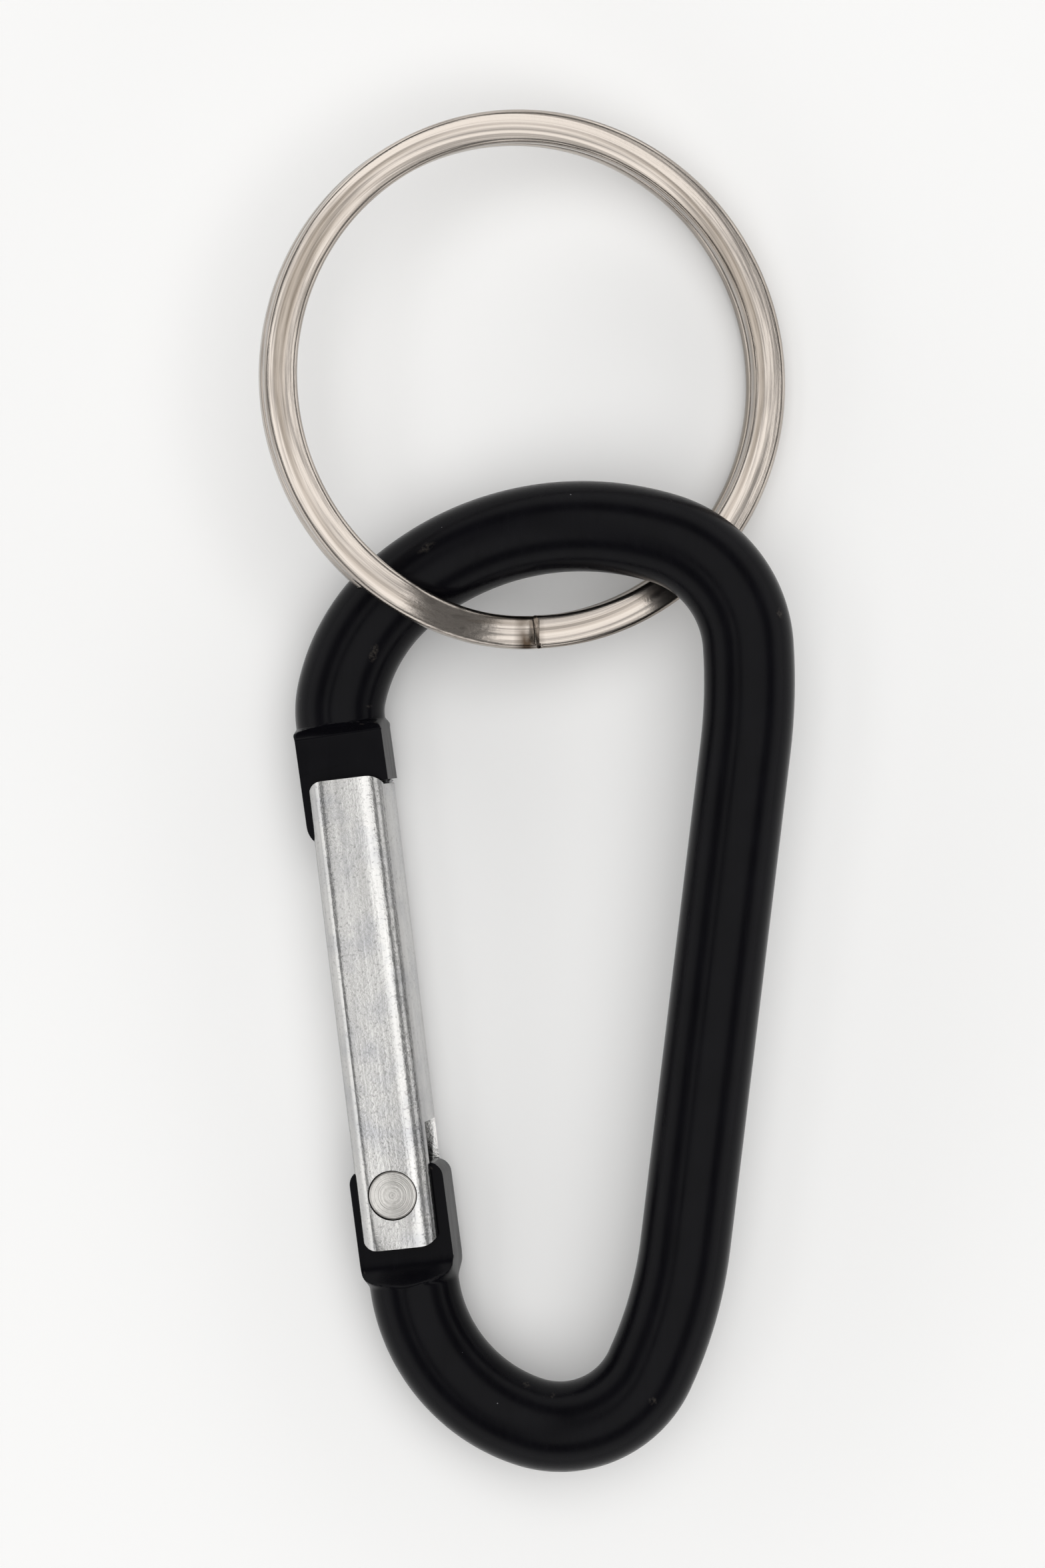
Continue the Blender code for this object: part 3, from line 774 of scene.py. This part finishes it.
def make_gate(settings):
    depth, far = GATE_DEPTH / 2, GATE_REACH + 1 * MM
    inside = depth - settings.sheet
    inner_radius = settings.fold - settings.sheet
    outer = channel_section(settings.width / 2, depth, settings.fold, settings.crown)
    inner = channel_section(settings.width / 2 - settings.sheet, inside, inner_radius, 0)
    gate = new_object("gate_skin", loft([[(a, y, u) for a, u in outer] for y in (-GATE_TAIL, GATE_REACH)]))
    cut(gate, loft([[(a, y, u) for a, u in inner] for y in (-GATE_TAIL - 1 * MM, far)]))
    outline = gate_outline(settings)
    cut(gate, loft([[(x, y, z) for x, y in outline] for z in (-5 * MM, 5 * MM)]), "INTERSECT")
    web = settings.width / 2 - settings.sheet - inner_radius
    wide = settings.width
    slots = (
        ((-wide, CURL_END, -inside), (-web, far, inside)),
        ((-wide, -far, -inside), (-web, CURL_START, inside)),
        ((-wide, -far, -0.25 * MM), (-web, far, 0.25 * MM)),
        ((web, -far, -inside), (wide, WEB_START, inside)),
        ((web, GATE_REACH - WEB_SETBACK, -inside), (wide, far, inside)),
    )
    for low, high in slots:
        cut(gate, box_shape(low, high))
    hole = turned_shape(
        (
            (0, -4 * MM),
            (settings.rivet_radius + 0.035 * MM, -4 * MM),
            (settings.rivet_radius + 0.035 * MM, 4 * MM),
            (0, 4 * MM),
        ),
        72,
    )
    cut(gate, hole)
    bevel = gate.modifiers.new("edges", "BEVEL")
    bevel.width = settings.edge
    bevel.segments = 3
    bevel.limit_method = "ANGLE"
    bevel.angle_limit = math.radians(50)
    bevel.use_clamp_overlap = True
    return settle(gate, gate_matrix(), sheet_material(settings), 35)


def make_rivet(settings):
    """Two shallow-dished heads with rounded rims on one shank."""
    outside = GATE_DEPTH / 2 + settings.crown * 0.55
    inside = TONGUE_THICKNESS / 2 + FACE_CLEARANCE
    radius, rim = settings.rivet_radius, 0.16 * MM
    face = [(0.0, outside - 0.09 * MM)]
    face += [
        (radius * share, outside - 0.09 * MM * math.cos(share * math.pi / 1.8) - 0.01 * MM)
        for share in (0.12, 0.25, 0.4, 0.55, 0.68, 0.78, 0.85)
    ]
    for k in range(7):
        turn = math.radians(15 * k)
        face.append((radius - rim + rim * math.sin(turn), outside - rim + rim * math.cos(turn)))
    top = face + [(radius, inside), (RIVET_SHANK, inside)]
    profile = [(r, -z) for r, z in top] + [(r, z) for r, z in reversed(top)]
    rivet = new_object("gate_rivet_skin", turned_shape(profile, 96))
    return settle(rivet, gate_matrix(), rivet_material(settings), 50)


def make_spring(settings):
    """A bent wire that stands in the hinge tongue's end and bears on the gate's curled wall."""
    start, rise, run_out = HINGE_PAST_PIVOT - 0.33 * MM, 7.0 * MM, 2.0 * MM
    lean = GATE_TILT - (foot_stations()[-1][1] - math.pi / 2)
    wall = -(settings.width / 2 - settings.sheet)
    side = wall + settings.wire_radius + 0.12 * MM - math.tan(lean) * rise
    path = []
    for k in range(49):
        share = k / 48
        path.append(Vector((side * share * share * (3 - 2 * share), start + rise * share, 0)))
    path.append(Vector((side, start + rise + run_out, 0)))
    rings = []
    for k, point in enumerate(path):
        along = (path[min(k + 1, len(path) - 1)] - path[max(k - 1, 0)]).normalized()
        across = Vector((along.y, -along.x, 0))
        angles = [2 * math.pi * j / 24 for j in range(24)]
        rings.append(
            [
                point + (across * math.cos(a) + Vector((0, 0, 1)) * math.sin(a)) * settings.wire_radius
                for a in angles
            ]
        )
    spring = new_object("gate_spring_skin", loft(rings))
    return settle(spring, hinge_matrix(), spring_material(settings), 50)


# ---- The split ring, grown by nodes


RING_INPUTS = (
    ("Radius", "NodeSocketFloat"),
    ("Wire Width", "NodeSocketFloat"),
    ("Wire Thickness", "NodeSocketFloat"),
    ("Turn Gap", "NodeSocketFloat"),
    ("Edge", "NodeSocketFloat"),
    ("Steps", "NodeSocketInt"),
    ("Front End", "NodeSocketFloat"),
    ("Back End", "NodeSocketFloat"),
    ("Joggle Start", "NodeSocketFloat"),
    ("Joggle End", "NodeSocketFloat"),
    ("Material", "NodeSocketMaterial"),
)


def ring_tree():
    """A flat wire swept for two turns, which steps from the front turn to the back turn."""
    tree = bpy.data.node_groups.new("Split Ring", "GeometryNodeTree")
    for label, kind in RING_INPUTS:
        tree.interface.new_socket(name=label, in_out="INPUT", socket_type=kind)
    tree.interface.new_socket(name="Geometry", in_out="OUTPUT", socket_type="NodeSocketGeometry")
    start, end = tree.nodes.new("NodeGroupInput"), tree.nodes.new("NodeGroupOutput")
    given = start.outputs

    line = tree.nodes.new("GeometryNodeMeshLine")
    tree.links.new(given["Steps"], line.inputs["Count"])
    index = tree.nodes.new("GeometryNodeInputIndex").outputs[0]
    share = math_node(tree, "DIVIDE", index, math_node(tree, "SUBTRACT", given["Steps"], 1))
    sweep = math_node(tree, "SUBTRACT", given["Back End"], given["Front End"])
    angle = math_node(tree, "MULTIPLY_ADD", share, sweep, given["Front End"])
    middle = math_node(tree, "MULTIPLY_ADD", given["Wire Width"], -0.5, given["Radius"])

    step = tree.nodes.new("ShaderNodeMapRange")
    step.interpolation_type = "SMOOTHSTEP"
    tree.links.new(angle, step.inputs["Value"])
    tree.links.new(given["Joggle Start"], step.inputs["From Min"])
    tree.links.new(given["Joggle End"], step.inputs["From Max"])
    step.inputs["To Min"].default_value = 0.5
    step.inputs["To Max"].default_value = -0.5
    pitch = math_node(tree, "ADD", given["Wire Thickness"], given["Turn Gap"])
    height = math_node(tree, "MULTIPLY", pitch, step.outputs["Result"])

    place = tree.nodes.new("ShaderNodeCombineXYZ")
    tree.links.new(math_node(tree, "MULTIPLY", middle, math_node(tree, "COSINE", angle)), place.inputs["X"])
    tree.links.new(math_node(tree, "MULTIPLY", middle, math_node(tree, "SINE", angle)), place.inputs["Y"])
    tree.links.new(height, place.inputs["Z"])
    put = tree.nodes.new("GeometryNodeSetPosition")
    tree.links.new(line.outputs["Mesh"], put.inputs["Geometry"])
    tree.links.new(place.outputs[0], put.inputs["Position"])

    path = tree.nodes.new("GeometryNodeMeshToCurve")
    tree.links.new(put.outputs["Geometry"], path.inputs["Mesh"])
    upright = tree.nodes.new("GeometryNodeSetCurveNormal")
    upright.mode = "Z_UP"
    tree.links.new(path.outputs["Curve"], upright.inputs["Curve"])

    outline = tree.nodes.new("GeometryNodeCurvePrimitiveQuadrilateral")
    tree.links.new(given["Wire Width"], outline.inputs["Width"])
    tree.links.new(given["Wire Thickness"], outline.inputs["Height"])
    rounded = tree.nodes.new("GeometryNodeFilletCurve")
    rounded.mode = "POLY"
    rounded.inputs["Count"].default_value = 5
    tree.links.new(outline.outputs["Curve"], rounded.inputs["Curve"])
    tree.links.new(given["Edge"], rounded.inputs["Radius"])

    sweep_mesh = tree.nodes.new("GeometryNodeCurveToMesh")
    sweep_mesh.inputs["Fill Caps"].default_value = True
    tree.links.new(upright.outputs["Curve"], sweep_mesh.inputs["Curve"])
    tree.links.new(rounded.outputs["Curve"], sweep_mesh.inputs["Profile Curve"])
    real = tree.nodes.new("GeometryNodeRealizeInstances")
    tree.links.new(sweep_mesh.outputs["Mesh"], real.inputs["Geometry"])
    paint = tree.nodes.new("GeometryNodeSetMaterial")
    tree.links.new(real.outputs["Geometry"], paint.inputs["Geometry"])
    tree.links.new(given["Material"], paint.inputs["Material"])
    tree.links.new(paint.outputs["Geometry"], end.inputs["Geometry"])
    return tree


def make_ring(settings):
    material = nickel_material(settings)
    tree = ring_tree()
    ring = bpy.data.objects.new("split_ring_wire", bpy.data.meshes.new("split_ring_wire"))
    bpy.context.collection.objects.link(ring)
    grow = ring.modifiers.new("wire", "NODES")
    grow.node_group = tree
    values = {
        "Radius": settings.radius,
        "Wire Width": settings.wire_width,
        "Wire Thickness": settings.wire_thickness,
        "Turn Gap": settings.turn_gap,
        "Edge": settings.edge,
        "Steps": settings.steps,
        "Front End": math.radians(-88.0),
        "Back End": math.radians(592.0),
        "Joggle Start": math.radians(236.0),
        "Joggle End": math.radians(266.0),
        "Material": material,
    }
    for socket in tree.interface.items_tree:
        if socket.in_out == "INPUT":
            grow[socket.identifier] = values[socket.name]
    settle(ring, ring_matrix(), material, 50)
    shape = bmesh.new()
    shape.from_mesh(ring.data)
    bmesh.ops.remove_doubles(shape, verts=shape.verts, dist=0.001 * MM)
    bmesh.ops.recalc_face_normals(shape, faces=shape.faces)
    roughen_ends(shape, ring_matrix(), settings)
    shape.to_mesh(ring.data)
    shape.free()
    return ring


def roughen_ends(shape, matrix, settings):
    """Give the wire's two cut ends the crooked face that shears leave."""
    inverse = matrix.inverted()
    for face in shape.faces:
        if len(face.verts) < 12:
            continue
        middle = inverse @ face.calc_center_median()
        along = Vector((-middle.y, middle.x, 0)).normalized()
        outwards = math.copysign(1.0, (inverse.to_3x3() @ face.normal).dot(along))
        for corner in face.verts:
            place = inverse @ corner.co
            across = (place.xy.length - middle.xy.length) / settings.wire_width
            wave = 0.16 * math.sin(across * 9.0) - 0.25 * abs(across)
            corner.co = matrix @ (place + along * outwards * wave * MM)


# ---- The stage


def make_floor(settings):
    shape = bmesh.new()
    bmesh.ops.create_grid(shape, x_segments=1, y_segments=1, size=settings.floor_size / 2)
    floor = new_object("floor", shape)
    material, tree, shader = new_material("pale_floor", 0.9)
    shader.inputs["Base Color"].default_value = (*settings.floor_colour, 1.0)
    shader.inputs["Specular IOR Level"].default_value = 0.0
    floor.data.materials.append(material)
    return floor


def make_world(settings):
    """A bright ceiling with softer sides and a dark band between them, as round a light tent."""
    world = bpy.data.worlds.new("studio")
    bpy.context.scene.world = world
    world.use_nodes = True
    tree = world.node_tree
    coordinates = tree.nodes.new("ShaderNodeTexCoord")
    parts = tree.nodes.new("ShaderNodeSeparateXYZ")
    tree.links.new(coordinates.outputs["Generated"], parts.inputs[0])
    ceiling = ramp(tree, parts.outputs["Z"], 0.70, 0.80)
    sides = ramp(tree, parts.outputs["Z"], 0.34, 0.52, 1.0, 0.0)
    # A joint between the ceiling's cloths runs along the set, on the gate's side.
    joint = math_node(tree, "ABSOLUTE", math_node(tree, "ADD", parts.outputs["X"], settings.joint_place))
    ceiling = math_node(tree, "MULTIPLY", ceiling, ramp(tree, joint, 0.045, 0.08, settings.joint_light, 1.0))
    light = math_node(tree, "MULTIPLY", ceiling, settings.overhead)
    light = math_node(tree, "ADD", light, math_node(tree, "MULTIPLY", sides, settings.horizon))
    light = math_node(tree, "MAXIMUM", light, settings.gap)
    background = tree.nodes["Background"]
    tree.links.new(light, background.inputs["Strength"])
    background.inputs["Color"].default_value = (1.0, 0.995, 0.985, 1.0)


def make_camera():
    data = bpy.data.cameras.new("camera")
    data.sensor_fit = "VERTICAL"
    data.sensor_height = SENSOR_HEIGHT
    focal_points = POINTS_PER_METRE * (CAMERA_HEIGHT - FOCUS_HEIGHT)
    data.lens = focal_points / PICTURE_SIZE[1] * SENSOR_HEIGHT
    data.clip_start = 0.01
    camera = bpy.data.objects.new("camera", data)
    shift = set_shift()
    camera.location = (shift.x, shift.y, CAMERA_HEIGHT)
    bpy.context.collection.objects.link(camera)
    bpy.context.scene.camera = camera


# ---- Operators and panel


class KEYRING_OT_body(bpy.types.Operator):
    """Make the bent rod body with its two pressed tongues"""

    bl_idname = "keyring.body"
    bl_label = "Body"

    def execute(self, context):
        piece = make_body(context.scene.keyring_body, context.scene.keyring_gate)
        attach(piece, "carabiner")
        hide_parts("carabiner_body")
        return {"FINISHED"}


class KEYRING_OT_gate(bpy.types.Operator):
    """Make the folded gate with its rivet and its spring"""

    bl_idname = "keyring.gate"
    bl_label = "Gate, rivet and spring"

    def execute(self, context):
        settings = context.scene.keyring_gate
        makers = (("gate", make_gate, "gate"), ("gate_rivet", make_rivet, "rivet"))
        for node, maker, slot in makers:
            piece = maker(settings)
            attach(piece, "gate")
            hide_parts(node)
        spring = make_spring(settings)
        root, tip = (hinge_matrix() @ Vector((0, y * MM, 0)) for y in (1.7, 8.5))
        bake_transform(spring)
        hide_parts("gate_spring")
        return {"FINISHED"}


class KEYRING_OT_ring(bpy.types.Operator):
    """Make the split ring from its node tree"""

    bl_idname = "keyring.ring"
    bl_label = "Split ring"

    def execute(self, context):
        piece = make_ring(context.scene.keyring_ring)
        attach(piece, "ring")
        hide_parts("split_ring")
        return {"FINISHED"}


class KEYRING_OT_stage(bpy.types.Operator):
    """Make the floor, the soft light and the camera"""

    bl_idname = "keyring.stage"
    bl_label = "Stage"

    def execute(self, context):
        settings = context.scene.keyring_stage
        make_floor(settings)
        make_world(settings)
        make_camera()
        context.scene.view_settings.view_transform = "Standard"
        return {"FINISHED"}


class KEYRING_PT_panel(bpy.types.Panel):
    """Sidebar panel that lists the keyring's makers"""

    bl_idname = "KEYRING_PT_panel"
    bl_label = "Keyring"
    bl_space_type = "VIEW_3D"
    bl_region_type = "UI"
    bl_category = "Keyring"

    def draw(self, context):
        for operator in OPERATORS:
            self.layout.operator(operator.bl_idname)


SETTINGS = {
    "keyring_body": KeyringBodySettings,
    "keyring_gate": KeyringGateSettings,
    "keyring_ring": KeyringRingSettings,
    "keyring_stage": KeyringStageSettings,
}
OPERATORS = (KEYRING_OT_stage, KEYRING_OT_body, KEYRING_OT_gate, KEYRING_OT_ring)


def register():
    for group in (*SETTINGS.values(), *OPERATORS, KEYRING_PT_panel):
        bpy.utils.register_class(group)
    for name, group in SETTINGS.items():
        setattr(bpy.types.Scene, name, bpy.props.PointerProperty(type=group))


def unregister():
    for name in SETTINGS:
        delattr(bpy.types.Scene, name)
    for group in reversed((*SETTINGS.values(), *OPERATORS, KEYRING_PT_panel)):
        bpy.utils.unregister_class(group)


def main():
    register()
    bpy.ops.keyring.stage()
    bpy.ops.keyring.body()
    bpy.ops.keyring.gate()
    bpy.ops.keyring.ring()


if __name__ == "__main__":
    main()
